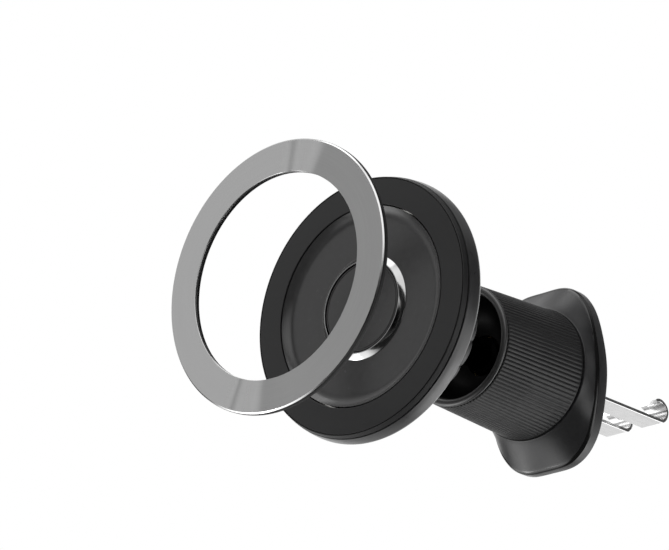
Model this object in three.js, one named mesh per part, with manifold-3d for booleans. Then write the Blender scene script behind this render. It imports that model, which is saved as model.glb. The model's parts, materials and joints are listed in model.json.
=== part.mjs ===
// Magnetic phone mount for a car's air vent.
//
// Frame: millimetres, +Z up. The mount's main axis is the Y axis. +Y points
// away from the driver, into the vent; the origin is the centre of the rubber
// pad's rear face, which bears on the vent. Along the axis, stations are given
// as s = distance behind the head's front face, so y = s - REACH.
//
// Order from the driver's side: loose steel ring, magnetic head (with socket
// and collar nut), ball and draw rod, knurled sleeve (the turning nut),
// clamp base, and the two-pronged steel hook.

import * as THREE from 'three';
import { mergeVertices } from 'three/addons/utils/BufferGeometryUtils.js';
import Module from 'manifold-3d';

const wasm = await Module();
wasm.setup();
const { Manifold, Mesh: SolidMesh } = wasm;

// ---------------------------------------------------------------- dimensions
const REACH = 64.8;            // head front face to vent face
const GAP = 0.3;               // running gap between pieces that touch

// steel ring that sticks to the phone
const RING_OD = 56.0;
const RING_ID = 42.4;
const RING_T = 0.6;
const RING_S = -25.4;          // front face, pulled off the head
const RING_DROP = -0.8;        // how low the ring is held, relative to the axis
const BACKING_T = 0.4;

// head
const HEAD_FACE_R = 26.9;
const HEAD_MAX_R = 27.7;
const RECESS_R = 21.2;
const BOSS_R = 11.1;
const BALL_S = 15.0;           // ball centre
const BALL_R = 8.5;            // 17 mm ball
const SEAT_IN = 8.8, SEAT_OUT = 9.8, SOCKET_R = 10.1;
const MAGNETS = 12;
const NUT_R = 14.6, NUT_LOBES = 16, NUT_S0 = 12.0, NUT_S1 = 20.5;

// rod
const NECK_R = 3.2;
const THREAD_R = 4.0;          // M8 major radius
const THREAD_S0 = 40.6, THREAD_S1 = 53.0;

// sleeve
const LIP_S = 30.7, LIP_R_IN = 11.4, LIP_R_OUT = 13.15;
const GRIP_S0 = 31.85, GRIP_R0 = 13.2, GRIP_S1 = 55.4, GRIP_R1 = 14.34;
const RIBS = 96, RIB_H = 0.17;

// base
const BASE_S0 = 55.75, BASE_R0 = 14.64, RIM_S = 60.75, REAR_S = 63.3;
const BORE_R = 8.8, TUBE_R = 10.5, TUBE_S0 = 47.0;
const PAD_T = 1.2;
const HALF_H = 20.2;
const OUTLINE = [              // quarter outline of the flange, x against z
  [0, 20.2], [4.7, 20.12], [6.3, 19.7], [8.0, 18.85], [9.6, 17.6], [10.8, 16.2],
  [12.0, 14.2], [13.0, 11.6], [13.8, 8.4], [14.4, 5.0], [14.8, 0],
];

// hook
const PRONG_X = 4.8, PRONG_W = 5.5, STRIP_T = 0.8;
const STRIP_Z = -3.1;          // underside of the prongs
const HOOK_END_S = 95.3;
const SLOT_CLEAR = 0.4;

const SEG = 32;                // facets of a full turn

const Y = (s) => s - REACH;

// ------------------------------------------------------------------- helpers
// A closed three.js geometry as a solid, with its faces pointing out.
function solid(geometry) {
  const g0 = geometry.clone();
  for (const k of Object.keys(g0.attributes)) if (k !== 'position') g0.deleteAttribute(k);
  const g = mergeVertices(g0, 1e-4);
  const src = g.index.array, pos = g.attributes.position.array, tri = [];
  for (let i = 0; i < src.length; i += 3) {
    const [a, b, c] = [src[i], src[i + 1], src[i + 2]];
    if (a !== b && b !== c && c !== a) tri.push(a, b, c);
  }
  let vol = 0;
  for (let i = 0; i < tri.length; i += 3) {
    const [a, b, c] = [tri[i] * 3, tri[i + 1] * 3, tri[i + 2] * 3];
    vol += pos[a] * (pos[b + 1] * pos[c + 2] - pos[b + 2] * pos[c + 1])
         - pos[a + 1] * (pos[b] * pos[c + 2] - pos[b + 2] * pos[c])
         + pos[a + 2] * (pos[b] * pos[c + 1] - pos[b + 1] * pos[c]);
  }
  if (vol < 0) for (let i = 0; i < tri.length; i += 3) [tri[i + 1], tri[i + 2]] = [tri[i + 2], tri[i + 1]];
  return new Manifold(new SolidMesh({
    numProp: 3, vertProperties: new Float32Array(pos), triVerts: new Uint32Array(tri),
  }));
}

// A profile of [radius, s] points, turned about the main axis.
function turned(profile, seg = SEG) {
  const pts = profile.map(([r, s]) => new THREE.Vector2(r, Y(s)));
  const onAxis = profile[0][0] === 0 && profile[profile.length - 1][0] === 0;
  if (!onAxis) pts.push(pts[0].clone());
  return solid(new THREE.LatheGeometry(pts, seg));
}

// A plain round bar or hole along the main axis.
const bar = (r, s0, s1, seg = SEG) => turned([[0, s0], [r, s0], [r, s1], [0, s1]], seg);
const ringBody = (r0, r1, s0, s1, seg = SEG) => turned([[r0, s0], [r1, s0], [r1, s1], [r0, s1]], seg);

// A box from its low and high corners (x, s, z).
function block(lo, hi) {
  const g = new THREE.BoxGeometry(hi[0] - lo[0], hi[1] - lo[1], hi[2] - lo[2]);
  g.translate((lo[0] + hi[0]) / 2, Y((lo[1] + hi[1]) / 2), (lo[2] + hi[2]) / 2);
  return solid(g);
}

// Rings of points in x and z, one at each station, skinned and capped flat.
function lofted(sections) {
  const area = (p) => THREE.ShapeUtils.area(p.map(([x, z]) => new THREE.Vector2(x, z)));
  const flip = area(sections[0].pts) < 0;
  const rings = sections.map(({ s, pts }) => {
    const ss = Array.isArray(s) ? s : pts.map(() => s);
    return flip ? { ss: ss.slice().reverse(), pts: pts.slice().reverse() } : { ss, pts };
  });
  const n = rings[0].pts.length, pos = [], idx = [];
  for (const { ss, pts } of rings) pts.forEach(([x, z], i) => pos.push(x, Y(ss[i]), z));
  for (let k = 0; k + 1 < rings.length; k++) {
    for (let i = 0; i < n; i++) {
      const j = (i + 1) % n, a = k * n + i, b = k * n + j, c = a + n, d = b + n;
      idx.push(b, a, c, b, c, d);
    }
  }
  const cap = (k, last) => {
    const pts = rings[k].pts, at = k * n;
    for (const t of THREE.ShapeUtils.triangulateShape(pts.map(([x, z]) => new THREE.Vector2(x, z)), [])) {
      const ccw = area(t.map((i) => pts[i])) > 0;
      const [p, q, r] = ccw !== last ? t : [t[0], t[2], t[1]];
      idx.push(at + p, at + q, at + r);
    }
  };
  cap(0, false);
  cap(rings.length - 1, true);
  const g = new THREE.BufferGeometry();
  g.setAttribute('position', new THREE.Float32BufferAttribute(pos, 3));
  g.setIndex(idx);
  return solid(g);
}

// The flange's outline grown by d, as a closed ring of points in x and z.
function outline(d = 0) {
  const q = OUTLINE, full = [];
  const push = (x, z) => full.push([x, z]);
  for (const [x, z] of q) push(x, z);
  for (let i = q.length - 2; i > 0; i--) push(q[i][0], -q[i][1]);
  push(0, -HALF_H);
  for (let i = 1; i < q.length; i++) push(-q[i][0], -q[i][1]);
  for (let i = q.length - 2; i > 0; i--) push(-q[i][0], q[i][1]);
  if (d === 0) return full;
  const n = full.length;
  return full.map(([x, z], i) => {
    const [ax, az] = full[(i + n - 1) % n], [bx, bz] = full[(i + 1) % n];
    const tx = bx - ax, tz = bz - az, l = Math.hypot(tx, tz);
    return [x - (tz / l) * d, z + (tx / l) * d];
  });
}
// Circle points matched to the outline's, by direction.
const circleLike = (r) => outline().map(([x, z]) => {
  const l = Math.hypot(x, z);
  return [(x / l) * r, (z / l) * r];
});
const mix = (a, b, t) => a.map(([x, z], i) => [x + (b[i][0] - x) * t, z + (b[i][1] - z) * t]);

function extrudedAlongS(pts, s0, s1) {
  return lofted([{ s: s0, pts }, { s: s1, pts }]);
}

const group = new THREE.Group();
const finish = (color, roughness, metalness) => ({ color, roughness, metalness });
function add(name, body, look) {
  const m = body.getMesh();
  const g = new THREE.BufferGeometry();
  g.setAttribute('position', new THREE.BufferAttribute(new Float32Array(m.vertProperties), 3));
  g.setIndex(new THREE.BufferAttribute(new Uint32Array(m.triVerts), 1));
  g.computeVertexNormals();
  const mesh = new THREE.Mesh(g, new THREE.MeshStandardMaterial(look));
  mesh.name = name;
  group.add(mesh);
  return mesh;
}

const BLACK_SATIN = finish(0x2b2c2e, 0.45, 0.0);
const BLACK_BAND = finish(0x232323, 0.6, 0.0);
const GREY_FACE = finish(0x3b3b3b, 0.35, 0.0);
const BLACK_GRIP = finish(0x262626, 0.6, 0.0);
const STEEL = finish(0x8f9192, 0.35, 1.0);
const CHROME = finish(0xc8c8c8, 0.12, 1.0);
const BRIGHT = finish(0xcfcfcf, 0.3, 1.0);
const RUBBER = finish(0x1a1a1a, 0.85, 0.0);
const MAGNET = finish(0xb4b6b8, 0.3, 1.0);
const NYLON = finish(0xd9d6cc, 0.55, 0.0);
const INNER_BLACK = finish(0x161616, 0.65, 0.0);
const ZINC = finish(0xa9acae, 0.4, 1.0);

// ---------------------------------------------------------------- steel ring
{
  const ro = RING_OD / 2, ri = RING_ID / 2, s0 = RING_S, s1 = RING_S + RING_T, c = 0.3;
  add('steel_ring', turned([
    [ri, s0], [ro - c, s0], [ro, s0 + c], [ro, s1], [ri, s1],
  ], SEG).translate([0, 0, RING_DROP]), STEEL);
  add('ring_backing', ringBody(ri, ro, s1 + GAP, s1 + GAP + BACKING_T, SEG).translate([0, 0, RING_DROP]), RUBBER);
}

// ---------------------------------------------------------------------- head
// Outer front band, with its bevelled edge and a skirt inside the rear shell.
add('front_cover', turned([
  [RECESS_R, 0], [HEAD_FACE_R, 0], [27.25, 1.1], [26.2, 1.1], [26.2, 3.4], [25.3, 3.4], [25.3, 1.6], [RECESS_R, 1.6],
], SEG), BLACK_BAND);
// Recessed face disc with a coved edge.
add('face_disc', turned([
  [0, 1.45], [19.2, 1.45], [20.3, 1.0], [20.9, 0.15], [20.9, 1.2], [19.4, 2.2], [0, 2.2],
], SEG), GREY_FACE);
// Polished ring on the disc, and the cap inside it.
add('chrome_ring', turned([
  [9.6, 0.6], [9.9, 0.5], [BOSS_R, 1.15], [9.6, 1.15],
], SEG), CHROME);
add('centre_cap', turned([[0, 0.7], [9.3, 0.7], [9.3, 1.15], [0, 1.15]], SEG), GREY_FACE);

// Ring of arc magnets on a steel yoke, held in a plastic carrier.
for (let i = 0; i < MAGNETS; i++) {
  const pitch = (Math.PI * 2) / MAGNETS, half = pitch / 2 - 0.35 / 22.8, a0 = i * pitch - half, a1 = i * pitch + half;
  const shape = new THREE.Shape(), n = 5, pts = [];
  for (let k = 0; k <= n; k++) { const a = a0 + ((a1 - a0) * k) / n; pts.push([25.0 * Math.cos(a), 25.0 * Math.sin(a)]); }
  for (let k = n; k >= 0; k--) { const a = a0 + ((a1 - a0) * k) / n; pts.push([20.6 * Math.cos(a), 20.6 * Math.sin(a)]); }
  add(`magnet_${String(i + 1).padStart(2, '0')}`, extrudedAlongS(pts, 2.05, 4.4), MAGNET);
}
add('yoke_ring', ringBody(20.6, 23.9, 4.7, 5.3, SEG), ZINC);
const HEAD_SCREW_R = 15.5;
const screwAngles = [90, 210, 330].map((d) => (d * Math.PI) / 180);
{
  let carrier = turned([
    [12.3, 5.6], [19.2, 5.6], [19.2, 2.7], [20.2, 2.7], [20.2, 5.6], [21.9, 5.6], [21.9, 6.3], [12.3, 6.3],
  ], SEG);
  for (const a of screwAngles) {
    carrier = carrier.subtract(bar(1.15, 5, 8, 16).translate([HEAD_SCREW_R * Math.cos(a), 0, HEAD_SCREW_R * Math.sin(a)]));
  }
  add('magnet_carrier', carrier, INNER_BLACK);
}
// Rear shell: outer wall, domed back, socket bowl and threaded neck in one.
{
  const P = [[0, 3.4], [4.6, 4.2], [8.2, 6.8], [10.0, 8.1], [18.4, 8.1], [20.4, 7.7], [23.2, 6.35], [25.4, 4.85],
    [26.5, 3.7], [26.5, 1.4], [27.35, 1.4], [27.6, 3.0], [HEAD_MAX_R, 4.1], [27.45, 4.6], [26.9, 5.15], [25.6, 6.1],
    [23.4, 7.6], [20.6, 9.2], [17.6, 10.4], [14.4, 11.2], [12.1, 11.4], [12.1, 16.3]];
  const from = Math.acos((BALL_S - 16.3) / SOCKET_R);
  for (let k = 0; k <= 6; k++) {
    const a = from * (1 - k / 6);
    P.push([k === 6 ? 0 : SOCKET_R * Math.sin(a), BALL_S - SOCKET_R * Math.cos(a)]);
  }
  let shell = turned(P, SEG);
  for (const a of screwAngles) {
    const at = [HEAD_SCREW_R * Math.cos(a), 0, HEAD_SCREW_R * Math.sin(a)];
    shell = shell.subtract(bar(1.15, 7, 13, 16).translate(at)).subtract(bar(2.3, 9.3, 13, 20).translate(at));
  }
  add('rear_shell', shell, BLACK_SATIN);
}
screwAngles.forEach((a, i) => {
  const s = turned([[0, 5.4], [0.85, 5.4], [0.85, 9.6], [2.0, 9.6], [2.0, 10.2], [1.4, 10.45], [0, 10.45]], 16)
    .translate([HEAD_SCREW_R * Math.cos(a), 0, HEAD_SCREW_R * Math.sin(a)]);
  add(`head_screw_${i + 1}`, s, ZINC);
});

// ------------------------------------------------------------- ball and seat
const arc = (R, a0, a1, n) => Array.from({ length: n + 1 }, (_, k) => {
  const a = ((a0 + ((a1 - a0) * k) / n) * Math.PI) / 180;
  return [Math.abs(a) < 1e-9 ? 0 : R * Math.sin(a), BALL_S - R * Math.cos(a)];
});
add('ball_seat_pad', turned([...arc(SEAT_OUT, 0, 48, 3), ...arc(SEAT_IN, 48, 0, 3)], 24), NYLON);
add('ball_seat_ring', turned([...arc(SEAT_OUT, 80, 114, 2), ...arc(SEAT_IN, 114, 80, 2)], SEG), NYLON);

// Collar nut: sixteen shallow lobes, threaded on the neck, coned inside.
{
  const n = NUT_LOBES * 3, lobes = (R) => Array.from({ length: n }, (_, i) => {
    const t = (i / n) * Math.PI * 2, w = Math.abs(Math.sin((t * NUT_LOBES) / 2));
    const r = R - 0.55 * (1 - w);
    return [r * Math.cos(t), r * Math.sin(t)];
  });
  let nut = lofted([
    { s: NUT_S0, pts: lobes(NUT_R - 0.5) }, { s: NUT_S0 + 0.6, pts: lobes(NUT_R) },
    { s: NUT_S1 - 0.7, pts: lobes(NUT_R) }, { s: NUT_S1, pts: lobes(NUT_R - 0.7) },
  ]);
  const inner = [[0, NUT_S0 - 1], [12.4, NUT_S0 - 1], [12.4, 16.6], [10.1, 16.6]];
  for (const a of [106, 114, 122]) inner.push([SOCKET_R * Math.sin((a * Math.PI) / 180), BALL_S - SOCKET_R * Math.cos((a * Math.PI) / 180)]);
  inner.push([8.75, NUT_S1 + 1], [0, NUT_S1 + 1]);
  add('collar_nut', nut.subtract(turned(inner, SEG)), BLACK_SATIN);
}

// Ball, neck, threaded shank and flat tang in one piece.
{
  const P = arc(BALL_R, 0, 156, 10);
  P.push([NECK_R, BALL_S + 8.3], [NECK_R, THREAD_S0 - 0.8], [THREAD_R, THREAD_S0], [THREAD_R, THREAD_S1], [0, THREAD_S1]);
  let rod = turned(P, 24);
  rod = rod.add(block([-5.6, THREAD_S1 - 0.3, -2.0], [5.6, 60.6, 1.2]));
  for (const x of [-3.3, 3.3]) {
    const hole = new THREE.CylinderGeometry(1.3, 1.3, 12, 16);
    hole.rotateX(Math.PI / 2); hole.translate(x, Y(56.2), 0);
    rod = rod.subtract(solid(hole));
  }
  add('ball_rod', rod, ZINC);
}

// --------------------------------------------------------------- hook (fork)
{
  // Centre line of a prong in (s, z): straight strip, tight turn up, then a
  // wide arc that comes back over the strip and faces the base.
  const T = STRIP_T / 2, mid = [[60.0, STRIP_Z + T], [92.4, STRIP_Z + T]];
  const bend = [[93.35, -2.55], [94.2, -1.85], [94.75, -0.95], [94.9, 0.0], [94.6, 0.8], [93.95, 1.42], [93.1, 1.82], [92.2, 1.95], [91.35, 1.75], [90.9, 1.45]];
  mid.push(...bend);
  const left = [], right = [];
  mid.forEach(([s, z], i) => {
    const a = mid[Math.max(0, i - 1)], b = mid[Math.min(mid.length - 1, i + 1)];
    const ts = b[0] - a[0], tz = b[1] - a[1], l = Math.hypot(ts, tz);
    left.push([s - (tz / l) * T, z + (ts / l) * T]); right.push([s + (tz / l) * T, z - (ts / l) * T]);
  });
  const ring = [...left, ...right.reverse()];
  const prong = (x0) => {
    const shape = new THREE.Shape(ring.map(([s, z]) => new THREE.Vector2(Y(s), z)));
    const g = new THREE.ExtrudeGeometry(shape, { depth: PRONG_W, bevelEnabled: false });
    // shape x -> world y, shape y -> world z, depth -> world x
    g.applyMatrix4(new THREE.Matrix4().set(0, 0, 1, x0, 1, 0, 0, 0, 0, 1, 0, 0, 0, 0, 0, 1));
    return solid(g);
  };
  const w = PRONG_X + PRONG_W / 2;
  let fork = block([-w, 53.4, STRIP_Z], [w, 60.5, STRIP_Z + STRIP_T]);
  fork = fork.add(prong(PRONG_X - PRONG_W / 2)).add(prong(-PRONG_X - PRONG_W / 2));
  for (const x of [-3.3, 3.3]) {
    const hole = new THREE.CylinderGeometry(1.3, 1.3, 12, 16);
    hole.rotateX(Math.PI / 2); hole.translate(x, Y(56.2), 0);
    fork = fork.subtract(solid(hole));
  }
  add('hook_fork', fork, BRIGHT);
  [-3.3, 3.3].forEach((x, i) => {
    const g = new THREE.LatheGeometry([[0, -4.2], [1.6, -4.1], [2.1, -3.4], [1.0, -3.4], [1.0, 1.5], [2.1, 1.5], [1.6, 2.2], [0, 2.3]]
      .map(([r, z]) => new THREE.Vector2(r, z)), 16);
    g.rotateX(Math.PI / 2); g.translate(x, Y(56.2), 0);
    add(`fork_rivet_${i + 1}`, solid(g), ZINC);
  });
}

// -------------------------------------------------------------------- sleeve
// Funnel insert: smooth rounded lip and dished throat around the neck.
add('funnel_insert', turned([
  [4.4, 39.8], [7.4, 38.8], [10.2, 35.4], [LIP_R_IN, 31.6], [11.75, 30.95], [12.3, LIP_S], [12.9, 30.85],
  [LIP_R_OUT, 31.2], [13.1, 31.5], [12.0, 31.6], [11.6, 35.4], [8.6, 40.0], [4.4, 41.0],
], SEG), INNER_BLACK);
// Threaded insert that pulls the rod in.
add('drive_nut', turned([
  [4.35, 41.4], [11.4, 41.4], [11.4, 44.2], [7.2, 44.2], [7.2, 46.3], [4.35, 46.3],
], SEG), finish(0xb58d4a, 0.35, 1.0));
// Grip sleeve: ribbed cone outside, stepped bore inside.
{
  const n = RIBS * 4, rAt = (s) => GRIP_R0 + ((s - GRIP_S0) * (GRIP_R1 - GRIP_R0)) / (GRIP_S1 - GRIP_S0);
  const ribbed = (s, h) => Array.from({ length: n }, (_, i) => {
    const t = (i / n) * Math.PI * 2, top = i % 4 < 2, r = rAt(s) - (top ? 0 : h);
    return [r * Math.cos(t), r * Math.sin(t)];
  });
  let grip = lofted([
    { s: GRIP_S0, pts: ribbed(GRIP_S0, RIB_H) }, { s: GRIP_S1, pts: ribbed(GRIP_S1, RIB_H) },
  ]);
  grip = grip.subtract(turned([
    [0, 31], [12.35, 31], [12.35, 35.4], [11.7, 36.4], [11.7, 49.1], [10.8, 49.1], [10.8, 57], [0, 57],
  ], SEG));
  add('knurled_sleeve', grip, BLACK_GRIP);
}

// ---------------------------------------------------------------------- base
const prongSlots = [-1, 1].map((k) => {
  const x0 = k * PRONG_X - PRONG_W / 2 - SLOT_CLEAR, x1 = k * PRONG_X + PRONG_W / 2 + SLOT_CLEAR;
  return block([x0, 55, STRIP_Z - SLOT_CLEAR], [x1, 70, 2.8]);
});
{
  // The front face runs from the circle to the rim. Its edge lies 1 mm
  // further forward at the sides than at the top and bottom.
  const rim = outline(), circle = circleLike(BASE_R0), inset = outline(-0.42);
  const edge = rim.map(([x, z]) => RIM_S - Math.pow(Math.abs(x) / Math.hypot(x, z), 1.5));
  const at = (t) => ({ s: edge.map((e) => BASE_S0 + (e - BASE_S0) * t), pts: mix(circle, inset, Math.pow(t, 1.12)) });
  let base = lofted([
    { s: BASE_S0, pts: circle }, at(0.35), at(0.7), at(1),
    { s: edge.map((e) => e + 0.62), pts: rim },
    { s: REAR_S, pts: rim },
  ]);
  base = base.add(bar(TUBE_R, TUBE_S0, BASE_S0 + 1, SEG));
  base = base.subtract(ringBody(9.6, 12, 47.5, 49.1, SEG));           // clip groove
  base = base.subtract(bar(BORE_R, TUBE_S0 - 1, 62, SEG));
  base = base.subtract(lofted([{ s: 61.0, pts: outline(-1.7) }, { s: 65, pts: outline(-1.7) }]));
  base = base.subtract(ringBody(11.2, 13.4, BASE_S0 - 1, BASE_S0 + 0.9, SEG));
  for (const z of [-15.4, 15.4]) base = base.subtract(bar(1.25, 59.4, 62, 16).translate([0, 0, z]));
  add('clamp_base', base, BLACK_SATIN);

  let plate = lofted([{ s: 61.3, pts: outline(-2.0) }, { s: REAR_S, pts: outline(-2.0) }]);
  for (const c of prongSlots) plate = plate.subtract(c);
  for (const z of [-15.4, 15.4]) {
    plate = plate.subtract(bar(1.25, 60, 65, 16).translate([0, 0, z])).subtract(bar(2.4, 62.2, 65, 20).translate([0, 0, z]));
  }
  add('back_plate', plate, INNER_BLACK);
  [-15.4, 15.4].forEach((z, i) => add(`plate_screw_${i + 1}`, turned([
    [0, 59.8], [0.95, 59.8], [0.95, 62.5], [2.1, 62.5], [2.1, 63.2], [0, 63.2],
  ], 16).translate([0, 0, z]), ZINC));

  let pad = lofted([{ s: REAR_S + GAP, pts: outline(-1.7) }, { s: REAR_S + GAP + PAD_T, pts: outline(-1.7) }]);
  for (const c of prongSlots) pad = pad.subtract(c);
  add('vent_pad', pad, RUBBER);
}
// Split clip that keeps the sleeve on the base's tube.
{
  const clip = ringBody(9.9, 11.4, 47.8, 48.8, SEG).subtract(block([-2.2, 47, 8], [2.2, 50, 13]));
  add('retaining_clip', clip, ZINC);
}
add('thrust_washer', ringBody(11.5, 13.1, BASE_S0, BASE_S0 + 0.55, SEG), NYLON);

export default group;
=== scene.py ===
import json
import math

import bmesh
import bpy
import numpy as np
from mathutils import Matrix, Vector


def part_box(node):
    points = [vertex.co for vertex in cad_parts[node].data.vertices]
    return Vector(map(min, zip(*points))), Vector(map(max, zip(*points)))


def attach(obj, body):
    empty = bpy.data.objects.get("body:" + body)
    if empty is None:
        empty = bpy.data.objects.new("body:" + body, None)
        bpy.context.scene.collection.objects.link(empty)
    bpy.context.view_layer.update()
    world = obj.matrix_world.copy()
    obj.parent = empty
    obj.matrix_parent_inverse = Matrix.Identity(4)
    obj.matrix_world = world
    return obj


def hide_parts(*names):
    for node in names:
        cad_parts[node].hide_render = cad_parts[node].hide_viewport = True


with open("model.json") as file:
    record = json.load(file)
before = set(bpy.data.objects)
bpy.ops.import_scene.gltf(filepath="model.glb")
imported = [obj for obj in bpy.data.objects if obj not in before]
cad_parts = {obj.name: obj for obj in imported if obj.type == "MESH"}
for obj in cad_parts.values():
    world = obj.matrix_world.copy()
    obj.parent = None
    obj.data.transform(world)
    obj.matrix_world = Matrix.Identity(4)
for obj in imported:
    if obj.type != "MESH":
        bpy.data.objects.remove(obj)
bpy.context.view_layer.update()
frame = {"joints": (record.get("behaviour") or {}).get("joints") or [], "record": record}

# Looks of a magnetic phone mount for a car's air vent. Lengths in the profiles are millimetres: r from the main axis
# (row Y), s behind the head's front face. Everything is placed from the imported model.

REACH = -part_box("front_cover")[0].y * 1000.0
RING_LO, RING_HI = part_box("steel_ring")
RING_Z = (RING_LO.z + RING_HI.z) / 2
JOINT = {j["name"]: j for j in frame["joints"]}
BALL_S = JOINT["ball_tilt"]["pos_m"][1] * 1000.0 + REACH
BALL_R = 8.5


def y_of(s):
    return (s - REACH) / 1000.0


# ---------------------------------------------------------------------------------------------------------- mesh tools
def rounded(pts, closed=True, n=5):
    """Profile points (r, s) or (r, s, fillet radius), with each corner that has a radius turned into an arc."""
    out, m = [], len(pts)
    for i, p in enumerate(pts):
        rad = p[2] if len(p) > 2 else 0.0
        P = np.array(p[:2], float)
        if rad <= 0 or (not closed and i in (0, m - 1)):
            out.append(P)
            continue
        u = np.array(pts[(i - 1) % m][:2], float) - P
        v = np.array(pts[(i + 1) % m][:2], float) - P
        lu, lv = np.linalg.norm(u), np.linalg.norm(v)
        u, v = u / lu, v / lv
        ang = math.acos(max(-1.0, min(1.0, float(u @ v))))
        if ang > math.pi - 0.02:
            out.append(P)
            continue
        d = min(rad / math.tan(ang / 2), 0.49 * lu, 0.49 * lv)
        r = d * math.tan(ang / 2)
        c = P + (u + v) / np.linalg.norm(u + v) * (r / math.sin(ang / 2))
        a0, a1 = P + u * d - c, P + v * d - c
        t0, t1 = math.atan2(a0[1], a0[0]), math.atan2(a1[1], a1[0])
        dt = (t1 - t0 + math.pi) % (2 * math.pi) - math.pi
        for k in range(n + 1):
            t = t0 + dt * k / n
            out.append(c + r * np.array([math.cos(t), math.sin(t)]))
    return [(float(a), float(b)) for a, b in out]


def smooth_path(pts, n=5, closed=False):
    """Catmull-Rom through the points."""
    P = [np.array(p, float) for p in pts]
    out, m = [], len(P)
    for i in range(m if closed else m - 1):
        a = P[(i - 1) % m] if closed or i > 0 else 2 * P[0] - P[1]
        b, c = P[i], P[(i + 1) % m]
        d = P[(i + 2) % m] if closed or i + 2 < m else 2 * P[-1] - P[-2]
        for k in range(n):
            t = k / n
            out.append(0.5 * ((2 * b) + (c - a) * t + (2 * a - 5 * b + 4 * c - d) * t * t + (3 * b - a - 3 * c + d) * t ** 3))
    if not closed:
        out.append(P[-1])
    return [tuple(float(x) for x in p) for p in out]


def mesh_object(name, verts, faces, sharp=35.0, weighted=True):
    me = bpy.data.meshes.new(name)
    me.from_pydata([tuple(v) for v in verts], [], faces)
    bm = bmesh.new()
    bm.from_mesh(me)
    bmesh.ops.remove_doubles(bm, verts=bm.verts, dist=1e-7)
    bmesh.ops.recalc_face_normals(bm, faces=bm.faces)
    bm.to_mesh(me)
    bm.free()
    me.shade_smooth()
    me.set_sharp_from_angle(angle=math.radians(sharp))
    o = bpy.data.objects.new(name, me)
    bpy.context.scene.collection.objects.link(o)
    if weighted:
        w = o.modifiers.new("weighted", "WEIGHTED_NORMAL")
        w.keep_sharp = True
        w.weight = 80
    return o


def lathe(name, prof, seg=192, closed=True, mod=None, dz=0.0, sharp=35.0):
    """Turns a profile of (r, s) about the main axis. mod(theta, r, s) may change a radius."""
    verts, rings, faces = [], [], []
    th = np.arange(seg) * (2 * math.pi / seg)
    for r, s in prof:
        if r < 1e-6:
            rings.append([len(verts)])
            verts.append((0.0, y_of(s), dz))
            continue
        rr = np.full(seg, r) if mod is None else mod(th, r, s)
        rings.append(list(range(len(verts), len(verts) + seg)))
        for t, q in zip(th, rr):
            verts.append((q / 1000.0 * math.cos(t), y_of(s), dz + q / 1000.0 * math.sin(t)))
    m = len(rings)
    for k in range(m if closed else m - 1):
        a, b = rings[k], rings[(k + 1) % m]
        if len(a) == 1 and len(b) == 1:
            continue
        for i in range(seg):
            j = (i + 1) % seg
            if len(a) == 1:
                faces.append((a[0], b[i], b[j]))
            elif len(b) == 1:
                faces.append((a[i], a[j], b[0]))
            else:
                faces.append((a[i], a[j], b[j], b[i]))
    return mesh_object(name, verts, faces, sharp)


def rings_object(name, sections, closed=True, caps=False, sharp=35.0):
    """Skins matched rings of 3-D points in metres."""
    n = len(sections[0])
    verts = [p for sec in sections for p in sec]
    faces, m = [], len(sections)
    for k in range(m if closed else m - 1):
        a, b = k * n, ((k + 1) % m) * n
        for i in range(n):
            j = (i + 1) % n
            faces.append((a + i, a + j, b + j, b + i))
    if caps:
        faces.append(tuple(range(n)))
        faces.append(tuple(range((m - 1) * n, m * n)))
    return mesh_object(name, verts, faces, sharp)


def box_object(name, lo, hi, bevel=0.0, segments=3):
    """A box in (x, s, z) millimetres, with its edges rounded."""
    (x0, s0, z0), (x1, s1, z1) = lo, hi
    v = [(x / 1000, y_of(s), z / 1000) for x in (x0, x1) for s in (s0, s1) for z in (z0, z1)]
    f = [(0, 1, 3, 2), (4, 6, 7, 5), (0, 4, 5, 1), (2, 3, 7, 6), (0, 2, 6, 4), (1, 5, 7, 3)]
    o = mesh_object(name, v, f, weighted=False)
    if bevel > 0:
        b = o.modifiers.new("bevel", "BEVEL")
        b.width, b.segments, b.limit_method = bevel / 1000, segments, "NONE"
        apply_all(o)
        o.data.set_sharp_from_angle(angle=math.radians(50))
    return o


def apply_all(o):
    """Replaces o's mesh by what its modifiers make of it."""
    dg = bpy.context.evaluated_depsgraph_get()
    dg.update()
    me = bpy.data.meshes.new_from_object(o.evaluated_get(dg), preserve_all_data_layers=True, depsgraph=dg)
    old = o.data
    o.modifiers.clear()
    o.data = me
    bpy.data.meshes.remove(old)


def boolean(o, others, operation="DIFFERENCE", sharp=35.0):
    o.modifiers.clear()
    for k, c in enumerate(others):
        c.modifiers.clear()
        b = o.modifiers.new(f"cut{k}", "BOOLEAN")
        b.operation, b.solver, b.object = operation, "EXACT", c
    apply_all(o)
    for c in others:
        me = c.data
        bpy.data.objects.remove(c)
        bpy.data.meshes.remove(me)
    bm = bmesh.new()
    bm.from_mesh(o.data)
    bmesh.ops.remove_doubles(bm, verts=bm.verts, dist=2e-7)
    bmesh.ops.dissolve_degenerate(bm, edges=bm.edges, dist=1e-8)
    bmesh.ops.recalc_face_normals(bm, faces=bm.faces)
    bm.to_mesh(o.data)
    bm.free()
    o.data.shade_smooth()
    o.data.set_sharp_from_angle(angle=math.radians(sharp))
    w = o.modifiers.new("weighted", "WEIGHTED_NORMAL")
    w.keep_sharp = True
    w.weight = 80
    return o


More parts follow.
